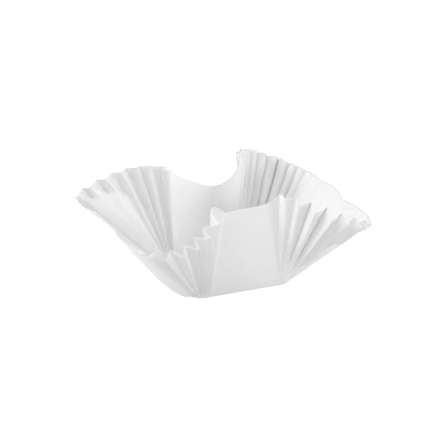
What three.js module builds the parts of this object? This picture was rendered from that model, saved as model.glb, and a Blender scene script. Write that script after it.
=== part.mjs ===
// Fluted burger cup: one square sheet of thin white paper, pressed into a flat square base with round
// corners, four plain sides and four fluted corners that fan out as wings.
// Millimetres, +Z up. The origin is the middle of the underside of the base, and the front is at -Y.

import * as THREE from "three";
import { ParametricGeometry } from "three/addons/geometries/ParametricGeometry.js";

// Sheet and base
const PAPER_THICKNESS = 0.5;
const BASE_SIDE = 100;
const BASE_CORNER_RADIUS = 18;
const BASE_FOLD_RADIUS = 3;

// Plain sides, each at its two ends and at its middle, in order going anticlockwise round the cup seen
// from above: the lean out from upright in degrees, and the length of the paper from base to rim
const FRONT = {
  first: { lean: 10.5, slant: 82 },
  middle: { lean: 9.5, slant: 86 },
  last: { lean: 9, slant: 92 },
};
const RIGHT = {
  first: { lean: 42, slant: 90 },
  middle: { lean: 39.5, slant: 97 },
  last: { lean: 42, slant: 98 },
};
const BACK = {
  first: { lean: -1, slant: 98 },
  middle: { lean: -19, slant: 84 },
  last: { lean: -1, slant: 83 },
};
const LEFT = {
  first: { lean: 44, slant: 87 },
  middle: { lean: 43, slant: 86 },
  last: { lean: 41, slant: 92 },
};

// Wings: the lean of the tip in degrees, the length of the paper up to it, and how fast the lean grows
// from the side before the wing and towards the side after it, where 1 is steady
const FRONT_RIGHT = { lean: 47, slant: 95, from: 1.4, to: 1.9 };
const BACK_RIGHT = { lean: 51.5, slant: 126, from: 1.95, to: 1 };
const BACK_LEFT = { lean: 55.5, slant: 115, from: 0.8, to: 1 };
const FRONT_LEFT = { lean: 49.5, slant: 115, from: 0.7, to: 2.1 };
const TIP_ROUNDNESS = 0.85;

// Flutes: their depth is from crest to valley. Next to the front and the back they run down to the base,
// and next to the left and the right they are pressed flat below the part that stands up at the rim.
const FLUTES_PER_WING = 13;
const FLUTE_DEPTH_AT_RIM = 5.5;
const FLUTE_DEPTH_AT_BASE = 1;
const FLUTES_RISE_OVER = 12;
const PRESSED_DEPTH_AT_RIM = 3;
const PRESSED_FLAT_UP_TO = 58;
const PRESSED_STANDS_FROM = 88;
const PRESSED_FROM_FLUTE = 5;

// Fineness of the faces
const FACES_PER_FLUTE = 4;
const FACES_PER_SIDE = 8;
const FACES_UP_THE_WALL = 6;
const FACES_IN_THE_FOLD = 2;
const HALF_FACE = 0.5;

const DEGREE = Math.PI / 180;
const UP = new THREE.Vector3(0, 0, 1);
const FACES_PER_WING = FLUTES_PER_WING * FACES_PER_FLUTE;
const STRAIGHT = BASE_SIDE - 2 * BASE_CORNER_RADIUS;
const SIDES = [FRONT, RIGHT, BACK, LEFT];
const WINGS = [FRONT_RIGHT, BACK_RIGHT, BACK_LEFT, FRONT_LEFT];
const FACES_ROUND = SIDES.length * (FACES_PER_SIDE + FACES_PER_WING);
const ROWS = FACES_IN_THE_FOLD + FACES_UP_THE_WALL;
const FACES_ALONG_SKIN = 2 * (ROWS + 1) + 1;

// Goes from 0 to 1 with no kink while x goes from 0 to 1
function smooth(x) {
  const t = THREE.MathUtils.clamp(x, 0, 1);
  return t * t * (3 - 2 * t);
}

// Direction square to a side, out of the cup: side 0 is the front and the others follow anticlockwise
function outOfSide(side) {
  const angle = (side - 1) * (Math.PI / 2);
  return new THREE.Vector3(Math.cos(angle), Math.sin(angle), 0);
}

// A ray of the sheet that starts on a plain side, with x from -1 to 1 along the side
function sideRay(side, x) {
  const out = outOfSide(side);
  const along = UP.clone().cross(out);
  const { first, middle, last } = SIDES[side];
  const end = x < 0 ? first : last;
  const toEnd = x * x;
  return {
    foot: out
      .clone()
      .multiplyScalar(BASE_SIDE / 2)
      .addScaledVector(along, (x * STRAIGHT) / 2),
    out,
    lean: THREE.MathUtils.lerp(middle.lean, end.lean, toEnd) * DEGREE,
    slant: THREE.MathUtils.lerp(middle.slant, end.slant, toEnd),
    flute: 0,
    pressed: 0,
  };
}

// A ray of the sheet in the wing that follows a side, with t from 0 to 1 round the corner of the base
function wingRay(corner, t) {
  const before = outOfSide(corner);
  const after = outOfSide((corner + 1) % SIDES.length);
  const turn = (t * Math.PI) / 2;
  const out = before
    .clone()
    .multiplyScalar(Math.cos(turn))
    .addScaledVector(after, Math.sin(turn));
  const wing = WINGS[corner];
  const firstHalf = t < 0.5;
  const next = SIDES[(corner + 1) % SIDES.length].first;
  const side = firstHalf ? SIDES[corner].last : next;
  const toTip = 1 - Math.abs(2 * t - 1);
  const growth = 1 - (1 - toTip) ** (firstHalf ? wing.from : wing.to);
  const length = 1 - (1 - toTip) ** TIP_ROUNDNESS;
  // Flutes are counted from the front or the back, so that both ends of a wing are alike
  const fromFrontOrBack = corner % 2 === 0 ? t : 1 - t;
  const count = fromFrontOrBack * FLUTES_PER_WING;
  return {
    foot: before
      .clone()
      .add(after)
      .multiplyScalar(STRAIGHT / 2)
      .addScaledVector(out, BASE_CORNER_RADIUS),
    out,
    lean: THREE.MathUtils.lerp(side.lean, wing.lean, growth) * DEGREE,
    slant: THREE.MathUtils.lerp(side.slant, wing.slant, length),
    flute: -zigzag(count) * smooth(Math.min(count, FLUTES_PER_WING - count)),
    pressed: smooth(count - PRESSED_FROM_FLUTE),
  };
}

// A wave of straight flanks, 1 at whole numbers and -1 half-way between them
function zigzag(x) {
  return 4 * Math.abs(x - Math.floor(x) - 0.5) - 1;
}

// The ray at a place round the cup, counted in faces from the left end of the front
function rayAt(face) {
  const perSide = FACES_PER_SIDE + FACES_PER_WING;
  const place = ((face % FACES_ROUND) + FACES_ROUND) % FACES_ROUND;
  const side = Math.floor(place / perSide);
  const rest = place - side * perSide;
  return rest < FACES_PER_SIDE
    ? sideRay(side, (2 * rest) / FACES_PER_SIDE - 1)
    : wingRay(side, (rest - FACES_PER_SIDE) / FACES_PER_WING);
}

// A point of the middle of the wall, before it is fluted, at a height measured along the paper
function plainWall(face, slant) {
  const { foot, out, lean } = rayAt(face);
  return foot
    .clone()
    .addScaledVector(out, slant * Math.sin(lean))
    .addScaledVector(UP, slant * Math.cos(lean));
}

// The direction square to the unfluted wall, out of the cup
function outOfWall(face, slant) {
  const along = plainWall(face + HALF_FACE, slant).sub(plainWall(face - HALF_FACE, slant));
  const { out, lean } = rayAt(face);
  const up = out
    .clone()
    .multiplyScalar(Math.sin(lean))
    .addScaledVector(UP, Math.cos(lean));
  return along.cross(up).normalize();
}

// How far the wall is moved in or out by its flutes at a height measured along the paper
function fluteAt(ray, slant) {
  const height = slant / ray.slant;
  const full = THREE.MathUtils.lerp(FLUTE_DEPTH_AT_BASE, FLUTE_DEPTH_AT_RIM, height);
  const stands = smooth(
    (slant - PRESSED_FLAT_UP_TO) / (PRESSED_STANDS_FROM - PRESSED_FLAT_UP_TO),
  );
  const depth = THREE.MathUtils.lerp(full, stands * PRESSED_DEPTH_AT_RIM, ray.pressed);
  return (ray.flute * depth * smooth(slant / FLUTES_RISE_OVER)) / 2;
}

// How far inside the foot of a ray the flat base ends, where the fold round the base begins
function foldInset(lean) {
  return BASE_FOLD_RADIUS * Math.tan((Math.PI / 2 - lean) / 2);
}

// A point of the paper's middle layer: row 0 is where the flat base ends, then come the fold and the wall
function middlePoint(face, row) {
  const ray = rayAt(face);
  const inset = foldInset(ray.lean);
  if (row <= FACES_IN_THE_FOLD) {
    const bend = (row / FACES_IN_THE_FOLD) * (Math.PI / 2 - ray.lean);
    return ray.foot
      .clone()
      .addScaledVector(ray.out, BASE_FOLD_RADIUS * Math.sin(bend) - inset)
      .addScaledVector(UP, BASE_FOLD_RADIUS * (1 - Math.cos(bend)));
  }
  const share = (row - FACES_IN_THE_FOLD) / FACES_UP_THE_WALL;
  const slant = THREE.MathUtils.lerp(inset, ray.slant, share);
  return plainWall(face, slant).addScaledVector(outOfWall(face, slant), fluteAt(ray, slant));
}

// The direction square to the paper, out of the cup, with its flutes and its fold
function outOfPaper(face, row) {
  if (row === 0) return UP.clone().negate();
  const above = Math.min(row + HALF_FACE, ROWS);
  const below = row - HALF_FACE;
  const along = middlePoint(face + HALF_FACE, row).sub(middlePoint(face - HALF_FACE, row));
  const up = middlePoint(face, above).sub(middlePoint(face, below));
  return along.cross(up).normalize();
}

// The skin of the paper runs from the middle of the underside out to the rim and back in to the middle of
// the upper side of the base
function skinPoint(u, v, target) {
  const face = Math.round(u * FACES_ROUND) % FACES_ROUND;
  const place = Math.round(v * FACES_ALONG_SKIN);
  const outside = place <= ROWS + 1;
  const row = outside ? place - 1 : FACES_ALONG_SKIN - place - 1;
  if (row < 0) {
    target.set(0, 0, outside ? 0 : PAPER_THICKNESS);
    return;
  }
  const half = PAPER_THICKNESS / 2;
  target
    .copy(middlePoint(face, row))
    .addScaledVector(outOfPaper(face, row), outside ? half : -half)
    .addScaledVector(UP, half);
}

function makeCup() {
  const paper = new THREE.MeshStandardMaterial({
    color: 0xf2f1ee,
    roughness: 0.75,
    metalness: 0,
    side: THREE.DoubleSide,
  });
  const skin = new ParametricGeometry(skinPoint, FACES_ROUND, FACES_ALONG_SKIN);
  const cup = new THREE.Mesh(skin, paper);
  cup.name = "fluted_cup";
  return cup;
}

const burgerCup = new THREE.Group();
burgerCup.name = "burger_cup";
burgerCup.add(makeCup());

export default burgerCup;
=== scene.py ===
# %% [markdown]
# # A fluted paper cup for a burger
# The cup is one sheet of thin white greaseproof paper. A press folds it up round a flat square base. The
# four sides stay plain, and at the four corners the spare paper gathers into flutes that fan out as wings.
# The solid model holds this form with a few straight faces for each flute. Here the same sheet is drawn
# again with fine faces, so that its crests are round, its pressed parts are crinkled and it is thin.

# %% Load the frame
import math

import bpy
import numpy as np
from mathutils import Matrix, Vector


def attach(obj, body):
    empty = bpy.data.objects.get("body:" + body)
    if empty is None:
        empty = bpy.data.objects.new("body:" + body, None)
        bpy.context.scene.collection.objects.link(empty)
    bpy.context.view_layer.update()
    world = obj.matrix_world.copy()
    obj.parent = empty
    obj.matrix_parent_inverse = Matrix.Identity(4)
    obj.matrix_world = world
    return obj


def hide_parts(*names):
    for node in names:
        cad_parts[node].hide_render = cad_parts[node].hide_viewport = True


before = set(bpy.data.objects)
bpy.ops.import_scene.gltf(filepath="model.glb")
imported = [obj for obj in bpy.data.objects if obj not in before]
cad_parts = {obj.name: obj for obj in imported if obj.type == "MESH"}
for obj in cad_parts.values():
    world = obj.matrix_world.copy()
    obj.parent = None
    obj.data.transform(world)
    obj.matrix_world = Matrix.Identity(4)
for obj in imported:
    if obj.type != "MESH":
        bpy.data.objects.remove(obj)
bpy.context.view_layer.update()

# %% [markdown]
# ## Sizes of the base and the plain sides
# Everything below is in metres and degrees, in the frame of the solid model: the front of the cup is at
# -Y and the middle of the underside of its base is the origin. Each plain side has a lean out from upright
# and a length of paper at its two ends and its middle. The four differ, because a used cup has been spread
# open by hand.

# %% Sizes of the base and the plain sides
MM = 0.001
# The real sheet is about 0.05 mm thick, and is drawn thicker so that its edge shows
PAPER = 0.24 * MM
BASE_SIDE = 100 * MM
CORNER_RADIUS = 18 * MM
FOLD_RADIUS = 3 * MM
STRAIGHT = BASE_SIDE - 2 * CORNER_RADIUS

# Lean, length of the paper and how far the rim is drawn in along the side, at the first end, the middle
# and the last end, anticlockwise from above
FRONT = {"first": (10.5, 80 * MM, 7 * MM), "middle": (9.5, 82 * MM, 0), "last": (9, 91 * MM, 9 * MM)}
RIGHT = {"first": (42, 90 * MM, 6 * MM), "middle": (39.5, 97 * MM, 0), "last": (42, 98 * MM, 10 * MM)}
BACK = {"first": (-1, 95 * MM, -8 * MM), "middle": (-19, 83 * MM, 0), "last": (-1, 87 * MM, 0)}
LEFT = {"first": (44, 87 * MM, 0), "middle": (43, 86 * MM, 0), "last": (41, 87 * MM, 0)}
SIDES = [FRONT, RIGHT, BACK, LEFT]
print("straight part of each side of the base:", STRAIGHT, "m")

# %% [markdown]
# ## Sizes of the wings
# In each corner the spare paper gathers into thirteen flutes, counted here from the front or the back (0)
# to the left or the right (13). Next to the front and the back they run down to the base. Further on, in
# three of the wings, they are pressed flat below a crease and stand up only near the rim. Each wing of this
# used cup is bent in its own way, so what the wings have in common is written once, and each wing adds
# what it has of its own.

# %% What the wings have in common
FLUTES = 13
COMMON_WING = {
    # The flute where the tip is, and how the rim runs before and after it: 1 is straight, less is pointed
    "tip_at": 6.5,
    "roundness": (0.85, 0.85),
    # How soon the pull on the rim by the side before and the side after dies away, where 1 is at the tip
    "drawn": (1, 1),
    # How far the flutes next to the front or the back are swung towards the tip
    "fan": 0,
    # How far up the wall the flutes grow to their depth
    "rise": 12 * MM,
    # How far below the rim they are pressed flat, at the first pressed flute and further on
    "crease": (20 * MM, 20 * MM),
    # How far the wall bows out, from which flute, and how high up: 1 is half-way and less is lower
    "belly": 0,
    "belly_from": 0,
    "belly_height": 1,
    # How far the first flute next to the front or the back, and its very point, stand above the rim
    "peak": 0,
    "point": 0,
    # How far a torn bit of the rim leans over next to the back
    "tab": 0,
    # How crumpled the rim is next to the front or the back
    "crumpled": 0,
}
print("sizes that the wings have in common:", len(COMMON_WING))

# %% Sizes of each wing
# tip: lean and length of the paper there. growth: how fast the lean grows from the side before and from
# the side after, where 1 is steady. depth: of the flutes next to the front or the back, and of those next
# to the left or the right. shallow: the flute where the one depth begins to give way to the other.
# pinch: under 1 the flutes are sharp inside and round outside, over 1 they are pinched outside.
# pressed: the flute from which they are pressed flat below the rim.
FRONT_RIGHT = {
    **COMMON_WING,
    "tip": (47, 95 * MM),
    "growth": (1.4, 1.9),
    "depth": (11 * MM, 2.5 * MM),
    "shallow": 5.5,
    "pinch": 0.9,
    "pressed": 4.5,
    "crease": (45 * MM, 6 * MM),
    "rise": 50 * MM,
}
BACK_RIGHT = {
    **COMMON_WING,
    "tip": (51.5, 126 * MM),
    "growth": (1.95, 1.25),
    "drawn": (1, 0.4),
    "fan": 4 * MM,
    "depth": (7.5 * MM, 4 * MM),
    "shallow": 9,
    "pinch": 3,
    "pressed": 12,
    "belly": 9 * MM,
    "belly_from": 2,
    "tab": 8 * MM,
    "crumpled": 1,
}
BACK_LEFT = {
    **COMMON_WING,
    "tip": (55, 109.5 * MM),
    "tip_at": 7.5,
    "growth": (1.15, 1.0),
    "roundness": (1.15, 0.85),
    "depth": (12 * MM, 0.5 * MM),
    "shallow": 7,
    "pinch": 0.85,
    "pressed": 4.4,
    "crease": (27 * MM, 8 * MM),
}
FRONT_LEFT = {
    **COMMON_WING,
    "tip": (50, 109 * MM),
    "growth": (0.7, 1.7),
    "roundness": (0.45, 0.45),
    "drawn": (1, 9),
    "fan": 2.5 * MM,
    "depth": (9 * MM, 0.5 * MM),
    "shallow": 5.6,
    "pinch": 1.3,
    "pressed": 6.5,
    "belly": 6 * MM,
    "belly_from": 6.5,
    "belly_height": 0.6,
    "peak": 6 * MM,
    "point": 6 * MM,
    "crumpled": 1,
}
WINGS = [FRONT_RIGHT, BACK_RIGHT, BACK_LEFT, FRONT_LEFT]
print("leans of the wing tips in degrees:", [wing["tip"][0] for wing in WINGS])

# %% [markdown]
# ## The rays of the sheet
# Think of the sheet as a fan of rays that start where the base ends. Each ray has a foot, a direction out,
# a lean and a length, and it knows which flute it runs in. Working with rays keeps every flute running up
# from the base to the rim, as the press makes it. Arrays of rays are quicker than a loop over single ones,
# so each function here gives a whole side or wing at once.

# %% Rays of a plain side
STEPS_PER_SIDE = 24

# What the flutes and the wall of a plain side are like: it has no flutes and belongs to no wing
ON_A_PLAIN_SIDE = {
    "flute": 0,
    "fade": 0,
    "pressed": 0,
    "depth": 0,
    "pinch": 1,
    "belly": 0,
    "belly_height": 1,
    "crumpled": 0,
    "rise": 1,
    "crinkled": 0,
    "crease": 1,
    "doubled_and_shaded": 0,
    "wing": -1,
}


def out_of_side(side):
    """The direction square to a side: side 0 is the front and the others follow anticlockwise."""
    angle = (side - 1) * math.pi / 2
    return np.array([math.cos(angle), math.sin(angle)])


def side_rays(side):
    x = np.linspace(-1, 1, STEPS_PER_SIDE, endpoint=False)
    out = out_of_side(side)
    along = np.array([-out[1], out[0]])
    sizes = SIDES[side]
    ends = np.where(x[:, None] < 0, [sizes["first"]], [sizes["last"]])
    middle = np.array([sizes["middle"]])
    lean, slant, drawn = (middle + (ends - middle) * x[:, None] ** 2).T
    return {
        "foot": out * BASE_SIDE / 2 + along * x[:, None] * STRAIGHT / 2,
        "out": np.tile(out, (len(x), 1)),
        "swing": along * (-np.sign(x) * drawn)[:, None],
        "lean": np.radians(lean),
        "slant": slant,
        "tab": np.zeros((len(x), 2)),
        **{name: np.full_like(x, value) for name, value in ON_A_PLAIN_SIDE.items()},
    }


print("rays of a plain side:", len(side_rays(0)["lean"]))

# %% The form of a wing
# The middle and the width of each feature of the rim, in flutes from the front or the back
PEAK = (1, 0.9)
POINT = (0.9, 0.35)
TAB = (0.9, 0.6)

# The fan's swing is a hump near the side, and this is about how high the hump is before it is scaled
SWING_POWER = 3
SWING_TOP = 0.105


def bump(x, middle, width):
    """A smooth hump of height 1."""
    return np.exp(-(((x - middle) / width) ** 2))


def wing_form(corner, t, count):
    """Place, lean and length of the rays, while t goes from 0 at the side before to 1 at the side after."""
    wing = WINGS[corner]
    tip_lean, tip_slant = wing["tip"]
    before, after = out_of_side(corner), out_of_side(corner + 1)
    turn = t[:, None] * math.pi / 2
    out = before * np.cos(turn) + after * np.sin(turn)
    tip = (wing["tip_at"] if corner % 2 == 0 else FLUTES - wing["tip_at"]) / FLUTES
    first_half = t < tip
    from_tip = np.where(first_half, (tip - t) / tip, (t - tip) / (1 - tip))
    last, first = SIDES[corner]["last"], SIDES[(corner + 1) % len(SIDES)]["first"]
    side_lean, side_slant, side_drawn = np.where(first_half[:, None], [last], [first]).T
    growth = 1 - from_tip ** np.where(first_half, *wing["growth"])
    length = 1 - from_tip ** np.where(first_half, *wing["roundness"])
    slant = side_slant + (tip_slant - side_slant) * length
    # The rim is drawn towards the plain side, less and less up to the tip
    inwards = np.where(first_half[:, None], [-after], [-before])
    pull = side_drawn * from_tip ** np.where(first_half, *wing["drawn"])
    swung = wing["fan"] * from_tip**SWING_POWER * (1 - from_tip) / SWING_TOP * (count < FLUTES / 2)
    return {
        "foot": (before + after) * STRAIGHT / 2 + out * CORNER_RADIUS,
        "out": out,
        "swing": inwards * (pull - swung)[:, None],
        "lean": np.radians(side_lean + (tip_lean - side_lean) * growth),
        "slant": slant + wing["peak"] * bump(count, *PEAK) + wing["point"] * bump(count, *POINT),
        "tab": -before * (wing["tab"] * bump(count, *TAB))[:, None],
    }


print("highest place of the fan's hump:", SWING_POWER / (SWING_POWER + 1), "of the way to the side")

# %% The flutes of a wing
# Over how many flutes each size changes
PRESSED_OVER = 2
SHALLOW_OVER = 1.5
BELLY_GROWS_OVER = 3
BELLY_ENDS_OVER = 4
CRINKLES_FADE_OVER = 2

# How much fainter the crinkles are beyond the middle of a wing, and the middle and the width of the
# crumpled part of the rim
CRINKLES_FADE = 0.9
CRUMPLED = (0.5, 1.0)

# Flutes that are pinched more than this lie double along their crests, half-way through each flute of
# this stretch of the wing
# The paper's material darkens these folds with painted shade, besides letting less light through
DOUBLED_PINCH = 2
DOUBLED_WIDTH = 0.08
DOUBLED_FROM = 5.5
DOUBLED_UP_TO = 9.5
CREST = 0.5


def smooth(x):
    """Goes from 0 to 1 with no kink while x goes from 0 to 1."""
    t = np.clip(x, 0, 1)
    return t * t * (3 - 2 * t)


def wing_flutes(corner, count):
    """What the wall and its flutes are like at each count of the flutes."""
    wing = WINGS[corner]
    near, far = wing["depth"]
    first_crease, last_crease = wing["crease"]
    from_pressed = np.clip((count - wing["pressed"]) / PRESSED_OVER, 0, 1)
    belly_grows = smooth((count - wing["belly_from"]) / BELLY_GROWS_OVER)
    belly_ends = smooth((FLUTES - count) / BELLY_ENDS_OVER)
    doubled_and_shaded = bump(count % 1, CREST, DOUBLED_WIDTH) * (wing["pinch"] > DOUBLED_PINCH)
    return {
        "flute": count,
        "fade": smooth(np.minimum(count, FLUTES - count)),
        "pressed": smooth(count - wing["pressed"]),
        "depth": near + (far - near) * smooth((count - wing["shallow"]) / SHALLOW_OVER),
        "pinch": np.full_like(count, wing["pinch"]),
        "belly": wing["belly"] * belly_grows * belly_ends,
        "belly_height": np.full_like(count, wing["belly_height"]),
        "crumpled": bump(count, *CRUMPLED) * wing["crumpled"],
        "rise": np.full_like(count, wing["rise"]),
        "crinkled": 1 - CRINKLES_FADE * smooth((count - FLUTES / 2) / CRINKLES_FADE_OVER),
        "crease": first_crease + (last_crease - first_crease) * from_pressed,
        "doubled_and_shaded": doubled_and_shaded * smooth(count - DOUBLED_FROM) * smooth(DOUBLED_UP_TO - count),
        "wing": np.full_like(count, corner),
    }


print("stretch of the doubled folds in flutes:", DOUBLED_UP_TO - DOUBLED_FROM)

# %% All rays, in order round the cup
STEPS_PER_FLUTE = 12


def wing_rays(corner):
    t = np.linspace(0, 1, FLUTES * STEPS_PER_FLUTE, endpoint=False)
    # Flutes are counted from the front or the back, so that both ends of a wing are alike
    count = (t if corner % 2 == 0 else 1 - t) * FLUTES
    return {**wing_form(corner, t, count), **wing_flutes(corner, count)}


parts = [make(k) for k in range(len(SIDES)) for make in (side_rays, wing_rays)]
rays = {key: np.concatenate([part[key] for part in parts]) for key in parts[0]}
STATIONS = len(rays["lean"])
print("rays round the cup:", STATIONS)

# %% [markdown]
# ## The sheet before it is fluted
# Rows of points run from the middle of the base out to its edge, round the fold and up the wall. They
# make one open surface with a point for each ray in each row. The direction square to the wall is kept
# with each point, together with its place in its flute and its height, because the next step needs them.

# %% The plain sheet
BASE_ROWS = 8
FOLD_ROWS = 4
WALL_ROWS = 44
TAB_SHARPNESS = 14


def on_ray(reach, height):
    """Points so far out from the foot of each ray and so high above the base."""
    flat = rays["foot"] + rays["out"] * reach[:, None]
    return np.column_stack([flat, height])


def plain_rows():
    """Points of the sheet in rows round the cup, and how far up the paper each of them lies."""
    lean, slant = rays["lean"], rays["slant"]
    inset = FOLD_RADIUS * np.tan((math.pi / 2 - lean) / 2)
    level = np.zeros(STATIONS)
    edge = on_ray(-inset, level)
    rows = [edge * k / BASE_ROWS for k in range(1, BASE_ROWS + 1)]
    heights = [level] * BASE_ROWS
    for k in range(1, FOLD_ROWS + 1):
        bend = (math.pi / 2 - lean) * k / FOLD_ROWS
        rows.append(on_ray(FOLD_RADIUS * np.sin(bend) - inset, FOLD_RADIUS * (1 - np.cos(bend))))
        heights.append(level + inset * k / FOLD_ROWS)
    for k in range(1, WALL_ROWS + 1):
        length = inset + (slant - inset) * k / WALL_ROWS
        share = length / slant
        bulge = rays["belly"] * np.sin(math.pi * share ** rays["belly_height"])
        reach = length * np.sin(lean) + bulge * np.cos(lean)
        wall = on_ray(reach, length * np.cos(lean) - bulge * np.sin(lean))
        wall[:, :2] += rays["swing"] * share[:, None] + rays["tab"] * (share**TAB_SHARPNESS)[:, None]
        rows.append(wall)
        heights.append(length)
    return np.array(rows), np.array(heights)


def outward_of(rows):
    """The direction square to the sheet, out of the cup."""
    along = np.roll(rows, -1, axis=1) - np.roll(rows, 1, axis=1)
    up = np.gradient(rows, axis=0)
    square = np.cross(along, up)
    return square / np.linalg.norm(square, axis=2, keepdims=True)


rows, heights = plain_rows()
outward = outward_of(rows)
print("points in the sheet:", rows.shape[0] * rows.shape[1] + 1)


# %% The mesh of the plain sheet
# What the node tree and the paper's material read from each ray
FOR_THE_TREE = (
    "flute", "fade", "pressed", "depth", "pinch", "crumpled", "crinkled", "doubled_and_shaded", "rise", "wing"
)


def sheet_faces(row_count):
    """Triangles round the middle of the base, then a ring of four-sided faces for each row."""
    here = np.arange(STATIONS)
    after = (here + 1) % STATIONS
    faces = [(0, 1 + b, 1 + a) for a, b in zip(here, after)]
    for row in range(row_count - 1):
        low = 1 + row * STATIONS
        high = low + STATIONS
        faces += [(low + a, low + b, high + b, high + a) for a, b in zip(here, after)]
    return faces


def set_attribute(mesh, name, kind, values, first):
    """Stores a value for each point, with its own value for the middle of the base."""
    flat = np.concatenate([np.ravel(first), np.ravel(values)]).astype(np.float32)
    key = "vector" if kind == "FLOAT_VECTOR" else "value"
    mesh.attributes.new(name, kind, "POINT").data.foreach_set(key, flat)


def make_sheet():
    points = np.vstack([[0, 0, 0], rows.reshape(-1, 3)]) + [0, 0, PAPER / 2]
    mesh = bpy.data.meshes.new("plain_sheet")
    mesh.from_pydata(points.tolist(), [], sheet_faces(len(rows)))
    set_attribute(mesh, "outward", "FLOAT_VECTOR", outward, (0, 0, -1))
    set_attribute(mesh, "height", "FLOAT", heights, 0)
    set_attribute(mesh, "share", "FLOAT", heights / rays["slant"], 0)
    set_attribute(mesh, "below_crease", "FLOAT", rays["slant"] - heights - rays["crease"], -1)
    for name in FOR_THE_TREE:
        set_attribute(mesh, name, "FLOAT", np.tile(rays[name], (len(rows), 1)), 0)
    cup = bpy.data.objects.new("paper_cup", mesh)
    bpy.context.scene.collection.objects.link(cup)
    return cup


cup = make_sheet()
print("faces in the plain sheet:", len(cup.data.polygons))

# %% [markdown]
# ## The flutes
# A flute is a wave that runs round the corner, the same all the way up its rays, so it follows a rule and
# a node tree can make it. The tree reads each point's place in its flute, makes a wave with straight
# flanks and slightly rounded crests, and moves the point in or out of the wall. Below the crease it takes
# most of the wave away, where the paper is pressed flat. Two more things spoil a perfect wave on real
# paper: no two flutes are equally deep, and the sheet buckles softly and is finely crinkled where it is
# pressed or crumpled. These come from noise with a fixed seed.

# %% Small helpers for node trees
def link(tree, value, socket):
    """Puts a number or another node's output into a socket."""
    if isinstance(value, bpy.types.NodeSocket):
        tree.links.new(value, socket)
    else:
        socket.default_value = value


def calculate(tree, operation, *values):
    node = tree.nodes.new("ShaderNodeMath")
    node.operation = operation
    for value, socket in zip(values, node.inputs):
        link(tree, value, socket)
    return node.outputs[0]


def scaled(tree, vector, factor):
    node = tree.nodes.new("ShaderNodeVectorMath")
    node.operation = "SCALE"
    link(tree, vector, node.inputs[0])
    link(tree, factor, node.inputs["Scale"])
    return node.outputs[0]


def blend_between(tree, factor, low, high):
    node = tree.nodes.new("ShaderNodeMix")
    link(tree, factor, node.inputs[0])
    link(tree, low, node.inputs[2])
    link(tree, high, node.inputs[3])
    return node.outputs[0]


def stored(tree, name, kind="FLOAT"):
    """What the mesh keeps at each point under this name."""
    node = tree.nodes.new("GeometryNodeInputNamedAttribute")
    node.data_type = kind
    node.inputs[0].default_value = name
    return node.outputs[0]


def eased(tree, value):
    """Goes from 0 to 1 with no kink while the value goes from 0 to 1."""
    ramp = tree.nodes.new("ShaderNodeMapRange")
    ramp.interpolation_type = "SMOOTHSTEP"
    link(tree, value, ramp.inputs[0])
    return ramp.outputs[0]


# %% Noise
NOISE_MIDDLE = 0.5
COARSE_DETAIL = 2.0


def noise(tree, vector, scale, seed, detail=COARSE_DETAIL):
    """Noise about 0, in four dimensions so that the seed can choose it."""
    node = tree.nodes.new("ShaderNodeTexNoise")
    node.noise_dimensions = "4D"
    link(tree, vector, node.inputs["Vector"])
    link(tree, seed, node.inputs["W"])
    link(tree, scale, node.inputs["Scale"])
    node.inputs["Detail"].default_value = detail
    return calculate(tree, "SUBTRACT", node.outputs[0], NOISE_MIDDLE)


# %% The wave and its depth
def flute_wave(tree, sizes):
    """1 on a crest and -1 in a valley. The pinch makes the crests narrower or broader than the valleys."""
    place = calculate(tree, "FRACT", stored(tree, "flute"))
    flank = calculate(tree, "PINGPONG", calculate(tree, "MULTIPLY", place, 2.0), 1.0)
    pinched = calculate(tree, "POWER", flank, stored(tree, "pinch"))
    straight = calculate(tree, "MULTIPLY_ADD", pinched, 2.0, -1.0)
    rounded = calculate(tree, "SINE", calculate(tree, "MULTIPLY", straight, math.pi / 2))
    return blend_between(tree, sizes["Roundness"], straight, rounded)


def pressed_part(tree, sizes):
    """1 where the flutes are pressed flat, 0 elsewhere, with a narrow crease between."""
    flat = eased(tree, calculate(tree, "DIVIDE", stored(tree, "below_crease"), sizes["Width of crease"]))
    return calculate(tree, "MULTIPLY", flat, stored(tree, "pressed"))


def flute_depth(tree, sizes):
    """Half the depth from crest to valley, at each point."""
    rim_depth = calculate(tree, "MULTIPLY", stored(tree, "depth"), sizes["Depth"])
    full = blend_between(tree, stored(tree, "share"), sizes["Depth at base"], rim_depth)
    pressed = pressed_part(tree, sizes)
    standing = calculate(tree, "MULTIPLY_ADD", pressed, sizes["Change when pressed"], 1.0)
    depth = calculate(tree, "MULTIPLY", full, standing)
    started = eased(tree, calculate(tree, "DIVIDE", stored(tree, "height"), stored(tree, "rise")))
    kept = calculate(tree, "MULTIPLY", stored(tree, "fade"), started)
    return calculate(tree, "MULTIPLY", calculate(tree, "MULTIPLY", depth, kept), 0.5)


def own_depth(tree, sizes):
    """A number about 1 for each flute, drawn by chance from its wing and its place in the wing."""
    number = calculate(tree, "FLOOR", stored(tree, "flute"))
    which = calculate(tree, "MULTIPLY_ADD", stored(tree, "wing"), FLUTES, number)
    chance = tree.nodes.new("ShaderNodeTexWhiteNoise")
    chance.noise_dimensions = "2D"
    both = tree.nodes.new("ShaderNodeCombineXYZ")
    link(tree, which, both.inputs[0])
    link(tree, sizes["Seed"], both.inputs[1])
    link(tree, both.outputs[0], chance.inputs["Vector"])
    uneven = calculate(tree, "SUBTRACT", chance.outputs[0], NOISE_MIDDLE)
    return calculate(tree, "MULTIPLY_ADD", uneven, sizes["Unevenness"], 1.0)


# %% Buckles and crinkles
# How crinkled the paper is where nothing has pressed it, and how close to the rim a crumpled part stays
PLAIN_CRINKLE = 0.05
CRUMPLE = 1.0
CRUMPLE_SHARPNESS = 14.0


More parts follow.
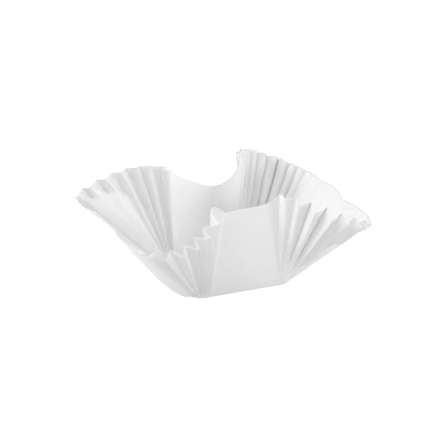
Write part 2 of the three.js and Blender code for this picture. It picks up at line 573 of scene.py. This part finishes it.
def crinkles(tree, sizes):
    """How far the sheet is moved by soft buckles and by fine crinkles."""
    place = tree.nodes.new("GeometryNodeInputPosition").outputs[0]
    share = stored(tree, "share")
    soft = noise(tree, place, sizes["Buckle scale"], sizes["Seed"])
    buckle = calculate(tree, "MULTIPLY", calculate(tree, "MULTIPLY", soft, sizes["Buckle height"]), share)
    near_rim = calculate(tree, "POWER", share, CRUMPLE_SHARPNESS)
    crumpled = calculate(tree, "MULTIPLY", stored(tree, "crumpled"), near_rim)
    pressed = calculate(tree, "MULTIPLY", pressed_part(tree, sizes), stored(tree, "crinkled"))
    at_least = calculate(tree, "MAXIMUM", pressed, PLAIN_CRINKLE)
    rough = calculate(tree, "MULTIPLY_ADD", crumpled, CRUMPLE, at_least)
    creased = calculate(tree, "ABSOLUTE", noise(tree, place, sizes["Crinkle scale"], sizes["Seed"]))
    crinkle = calculate(tree, "MULTIPLY", creased, sizes["Crinkle height"])
    return calculate(tree, "MULTIPLY_ADD", calculate(tree, "MULTIPLY", crinkle, rough), share, buckle)


# %% The tree that flutes a sheet
FLUTE_SIZES = {
    # A factor for the depth of each wing, the depth at the foot, and how much of it goes when pressed
    "Depth": 1.0,
    "Depth at base": 1.0 * MM,
    "Change when pressed": -0.9,
    "Width of crease": 3.5 * MM,
    # From 0 for straight flanks to 1 for round ones, and how unequal the flutes are
    "Roundness": 0.25,
    "Unevenness": 0.5,
    # The scales are those of the noise nodes, and the heights are lengths
    "Buckle scale": 25.0,
    "Buckle height": 2.5 * MM,
    "Crinkle scale": 110.0,
    "Crinkle height": 4.0 * MM,
    "Seed": 7.0,
}


def flute_tree():
    tree = bpy.data.node_groups.new("flutes", "GeometryNodeTree")
    face = tree.interface
    face.new_socket("Sheet", in_out="INPUT", socket_type="NodeSocketGeometry")
    for name in FLUTE_SIZES:
        face.new_socket(name, in_out="INPUT", socket_type="NodeSocketFloat")
    face.new_socket("Finish", in_out="INPUT", socket_type="NodeSocketMaterial")
    face.new_socket("Fluted sheet", in_out="OUTPUT", socket_type="NodeSocketGeometry")
    entry = tree.nodes.new("NodeGroupInput")
    sizes = {name: entry.outputs[name] for name in FLUTE_SIZES}

    # Every point moves square to the wall, by the wave of its flute and by the crinkles
    depth = calculate(tree, "MULTIPLY", flute_depth(tree, sizes), own_depth(tree, sizes))
    wave = calculate(tree, "MULTIPLY", flute_wave(tree, sizes), depth)
    distance = calculate(tree, "ADD", wave, crinkles(tree, sizes))
    move = scaled(tree, stored(tree, "outward", "FLOAT_VECTOR"), distance)

    shift = tree.nodes.new("GeometryNodeSetPosition")
    link(tree, entry.outputs["Sheet"], shift.inputs["Geometry"])
    link(tree, move, shift.inputs["Offset"])
    real = tree.nodes.new("GeometryNodeRealizeInstances")
    link(tree, shift.outputs[0], real.inputs[0])
    finish = tree.nodes.new("GeometryNodeSetMaterial")
    link(tree, real.outputs[0], finish.inputs["Geometry"])
    link(tree, entry.outputs["Finish"], finish.inputs["Material"])
    leave = tree.nodes.new("NodeGroupOutput")
    link(tree, finish.outputs[0], leave.inputs[0])
    return tree


flutes = flute_tree()
print("nodes in the flute tree:", len(flutes.nodes))

# %% [markdown]
# ## The paper
# Greaseproof paper is white, smooth but not glossy, and thin enough that light comes through it. Close up
# it has soft clouds where the pulp is denser, and short fibres that give the surface a fine tooth. The
# clouds and fibres are one node group, and the shaders stay in the material.

# %% A node group for the texture of paper
CLOUD_DETAIL = 4.0
CLOUD_CONTRAST = 1.6
CLOUD_RELIEF = 0.6
FIBRE_DETAIL = 3.0
FIBRE_RELIEF = 0.4
ROUGHNESS = 0.58
ROUGHNESS_OF_FIBRES = 0.25


def paper_group():
    group = bpy.data.node_groups.new("paper_texture", "ShaderNodeTree")
    face = group.interface
    for name in ("Cloud scale", "Fibre scale", "Seed"):
        face.new_socket(name, in_out="INPUT", socket_type="NodeSocketFloat")
    for name in ("Light colour", "Dark colour"):
        face.new_socket(name, in_out="INPUT", socket_type="NodeSocketColor")
    face.new_socket("Colour", in_out="OUTPUT", socket_type="NodeSocketColor")
    face.new_socket("Roughness", in_out="OUTPUT", socket_type="NodeSocketFloat")
    face.new_socket("Height", in_out="OUTPUT", socket_type="NodeSocketFloat")
    entry = group.nodes.new("NodeGroupInput")
    seed = entry.outputs["Seed"]
    place = group.nodes.new("ShaderNodeTexCoord").outputs["Object"]
    clouds = noise(group, place, entry.outputs["Cloud scale"], seed, detail=CLOUD_DETAIL)
    fibres = noise(group, place, entry.outputs["Fibre scale"], seed, detail=FIBRE_DETAIL)
    mix = group.nodes.new("ShaderNodeMix")
    mix.data_type = "RGBA"
    dense = calculate(group, "ADD", calculate(group, "MULTIPLY", clouds, CLOUD_CONTRAST), NOISE_MIDDLE)
    link(group, dense, mix.inputs[0])
    link(group, entry.outputs["Dark colour"], mix.inputs[6])
    link(group, entry.outputs["Light colour"], mix.inputs[7])
    rough = calculate(group, "MULTIPLY_ADD", fibres, ROUGHNESS_OF_FIBRES, ROUGHNESS)
    tooth = calculate(group, "MULTIPLY", fibres, FIBRE_RELIEF)
    leave = group.nodes.new("NodeGroupOutput")
    link(group, mix.outputs[2], leave.inputs["Colour"])
    link(group, rough, leave.inputs["Roughness"])
    link(group, calculate(group, "MULTIPLY_ADD", clouds, CLOUD_RELIEF, tooth), leave.inputs["Height"])
    return group


texture_group = paper_group()
print("nodes in the texture of paper:", len(texture_group.nodes))


# %% The material
def grey(value):
    return (value, value, value, 1)


PAPER_TEXTURE = {
    "Cloud scale": 120,
    "Fibre scale": 1400,
    "Seed": 3,
    "Light colour": grey(0.91),
    "Dark colour": grey(0.865),
}
RELIEF_STRENGTH = 0.25
RELIEF_HEIGHT = 0.15 * MM
SHINE = 0.35
# Painted shade: the grey that darkens the colour of the paper in pinched double folds
PAINTED_SHADE_WHERE_DOUBLED = grey(0.7)

# The share of the light that comes through, how it changes where the paper is double, and its colour
LET_THROUGH = 0.45
CHANGE_WHERE_DOUBLED = -0.3
LIGHT_THROUGH = grey(0.93)


def paper_material():
    material = bpy.data.materials.new("white_paper")
    material.use_nodes = True
    tree = material.node_tree
    tree.nodes.clear()
    texture = tree.nodes.new("ShaderNodeGroup")
    texture.node_tree = texture_group
    for name, value in PAPER_TEXTURE.items():
        texture.inputs[name].default_value = value
    relief = tree.nodes.new("ShaderNodeBump")
    relief.inputs["Strength"].default_value = RELIEF_STRENGTH
    relief.inputs["Distance"].default_value = RELIEF_HEIGHT
    link(tree, texture.outputs["Height"], relief.inputs["Height"])
    face = tree.nodes.new("ShaderNodeBsdfPrincipled")
    link(tree, texture.outputs["Roughness"], face.inputs["Roughness"])
    link(tree, relief.outputs[0], face.inputs["Normal"])
    face.inputs["Specular IOR Level"].default_value = SHINE
    # Where the paper lies double in a pinched fold, less light comes through, and its colour is darkened
    # with painted shade
    doubled_and_shaded = tree.nodes.new("ShaderNodeAttribute")
    doubled_and_shaded.attribute_name = "doubled_and_shaded"
    share = doubled_and_shaded.outputs["Fac"]
    shaded = tree.nodes.new("ShaderNodeMix")
    shaded.data_type = "RGBA"
    link(tree, share, shaded.inputs[0])
    link(tree, texture.outputs["Colour"], shaded.inputs[6])
    shaded.inputs[7].default_value = PAINTED_SHADE_WHERE_DOUBLED
    link(tree, shaded.outputs[2], face.inputs["Base Color"])
    through = tree.nodes.new("ShaderNodeBsdfTranslucent")
    through.inputs["Color"].default_value = LIGHT_THROUGH
    both = tree.nodes.new("ShaderNodeMixShader")
    let_through = calculate(tree, "MULTIPLY_ADD", share, CHANGE_WHERE_DOUBLED, LET_THROUGH)
    link(tree, let_through, both.inputs[0])
    link(tree, face.outputs[0], both.inputs[1])
    link(tree, through.outputs[0], both.inputs[2])
    leave = tree.nodes.new("ShaderNodeOutputMaterial")
    link(tree, both.outputs[0], leave.inputs[0])
    return material


white_paper = paper_material()
print("finish:", white_paper.name)

# %% [markdown]
# ## The finished cup
# Two modifiers finish the sheet. The tree flutes it, and a second one makes it as thick as PAPER, half on
# each side of the drawn surface. The flutes could also be sculpted by hand, but then no number would change
# them. The result is kept as a plain mesh, which needs no modifier any more.

# %% Flute the sheet and give it its thickness
def flute(cup):
    modifier = cup.modifiers.new("flutes", "NODES")
    modifier.node_group = flutes
    entries = [item for item in flutes.interface.items_tree if item.in_out == "INPUT"]
    sockets = {item.name: item.identifier for item in entries}
    for name, value in FLUTE_SIZES.items():
        modifier[sockets[name]] = value
    modifier[sockets["Finish"]] = white_paper
    wall = cup.modifiers.new("thickness", "SOLIDIFY")
    wall.thickness = PAPER
    wall.offset = 0
    plain = bpy.data.meshes.new_from_object(
        cup.evaluated_get(bpy.context.evaluated_depsgraph_get())
    )
    cup.modifiers.clear()
    cup.data = plain
    plain.name = "paper_cup"
    plain.shade_smooth()


flute(cup)
triangles = sum(len(face.vertices) - 2 for face in cup.data.polygons)
print("triangles in the paper cup:", triangles)

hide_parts("fluted_cup")
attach(cup, "root")

# %% [markdown]
# ## Floor and light
# The cup stands on a plain white floor that runs on into a white background. To the camera the floor is
# mostly a white glow, so that it stays as white as it is in the photograph. White paper on white shows by
# its shading alone, so soft lamps on the left, on the right and low at the front right give each flute a
# light and a dark flank, and the pale world fills in the rest.

# %% The floor
FLOOR_SIZE = 6.0
FLOOR_GREY = grey(0.95)
# How much of the floor is glow to the camera, and how bright the glow is
FLOOR_WHITE_TO_CAMERA = 0.9
FLOOR_GLOW = 1.07


def seen_directly(tree):
    """1 on camera, glossy and transmission rays, and 0 on light that is only scattered by things."""
    paths = tree.nodes.new("ShaderNodeLightPath")
    either = calculate(tree, "MAXIMUM", paths.outputs["Is Camera Ray"], paths.outputs["Is Glossy Ray"])
    return calculate(tree, "MAXIMUM", either, paths.outputs["Is Transmission Ray"])


def floor_material():
    material = bpy.data.materials.new("white_floor")
    material.use_nodes = True
    tree = material.node_tree
    tree.nodes.clear()
    lit = tree.nodes.new("ShaderNodeBsdfDiffuse")
    lit.inputs["Color"].default_value = FLOOR_GREY
    white = tree.nodes.new("ShaderNodeEmission")
    white.inputs["Strength"].default_value = FLOOR_GLOW
    both = tree.nodes.new("ShaderNodeMixShader")
    share = calculate(tree, "MULTIPLY", seen_directly(tree), FLOOR_WHITE_TO_CAMERA)
    link(tree, share, both.inputs[0])
    link(tree, lit.outputs[0], both.inputs[1])
    link(tree, white.outputs[0], both.inputs[2])
    leave = tree.nodes.new("ShaderNodeOutputMaterial")
    link(tree, both.outputs[0], leave.inputs[0])
    return material


bpy.ops.mesh.primitive_plane_add(size=FLOOR_SIZE, location=(0, 0, 0))
floor = bpy.context.object
floor.name = "floor"
floor.data.materials.append(floor_material())
print("side of the floor:", FLOOR_SIZE, "m")

# %% The world and the lamps
WORLD_LIGHT = 0.47
WORLD_SEEN = 1.0
LAMPS_LOOK_AT = Vector((0, 0, 0.04))
# The place of each lamp, the length of its side in metres and its power in watts
LAMPS = {
    "upper_left_lamp": ((-0.7, -0.6, 1.1), 0.4, 5.2),
    "left_lamp": ((-1.1, -0.1, 0.7), 0.4, 6.0),
    "front_lamp": ((0.8, -1.0, 0.1), 0.2, 3.0),
    "right_lamp": ((1.1, 0.1, 0.6), 0.5, 4.0),
}


def light_the_world():
    world = bpy.data.worlds.new("pale_world")
    bpy.context.scene.world = world
    world.use_nodes = True
    tree = world.node_tree
    tree.nodes.clear()
    sky = tree.nodes.new("ShaderNodeBackground")
    strength = blend_between(tree, seen_directly(tree), WORLD_LIGHT, WORLD_SEEN)
    sky.inputs["Color"].default_value = grey(1)
    link(tree, strength, sky.inputs["Strength"])
    leave = tree.nodes.new("ShaderNodeOutputWorld")
    link(tree, sky.outputs[0], leave.inputs[0])


def add_lamp(name, place, size, power):
    """A square lamp that looks at the middle of the cup."""
    lamp = bpy.data.lights.new(name, "AREA")
    lamp.size = size
    lamp.energy = power
    holder = bpy.data.objects.new(name, lamp)
    holder.location = place
    holder.rotation_euler = (LAMPS_LOOK_AT - Vector(place)).to_track_quat("-Z", "Y").to_euler()
    bpy.context.scene.collection.objects.link(holder)


light_the_world()
for name, (place, size, power) in LAMPS.items():
    add_lamp(name, place, size, power)
print("lamps placed:", len(LAMPS))

# %% [markdown]
# ## The camera
# The photograph looks at the cup from the front, a little from the left and from about twenty degrees
# above. The place of the camera comes from points of the base and the rim, fitted to where they lie in the
# picture. The small shift puts the cup where the photograph has it.

# %% The camera
LOOKS_AT = Vector((0, 0, 0.03))
CAMERA_DISTANCE = 0.5597
CAMERA_TURN = math.radians(22.263)
CAMERA_DROP = math.radians(19.555)
IMAGE_SIDE = 448
FOCAL_PIXELS = 600
OPTICAL_AXIS = (223.5, 242.06)
SENSOR_WIDTH = 36
NEAREST_SEEN = 0.01


def add_camera():
    view = Vector(
        (
            math.sin(CAMERA_TURN) * math.cos(CAMERA_DROP),
            math.cos(CAMERA_TURN) * math.cos(CAMERA_DROP),
            -math.sin(CAMERA_DROP),
        )
    )
    data = bpy.data.cameras.new("camera")
    data.sensor_width = SENSOR_WIDTH
    data.lens = SENSOR_WIDTH * FOCAL_PIXELS / IMAGE_SIDE
    data.shift_x = (IMAGE_SIDE / 2 - OPTICAL_AXIS[0]) / IMAGE_SIDE
    data.shift_y = (OPTICAL_AXIS[1] - IMAGE_SIDE / 2) / IMAGE_SIDE
    data.clip_start = NEAREST_SEEN
    camera = bpy.data.objects.new("camera", data)
    camera.location = LOOKS_AT - view * CAMERA_DISTANCE
    camera.rotation_euler = view.to_track_quat("-Z", "Y").to_euler()
    bpy.context.scene.collection.objects.link(camera)
    bpy.context.scene.camera = camera
    return camera


camera = add_camera()
bpy.context.scene.view_settings.view_transform = "Standard"
print("place of the camera in metres:", [round(value, 3) for value in camera.location])
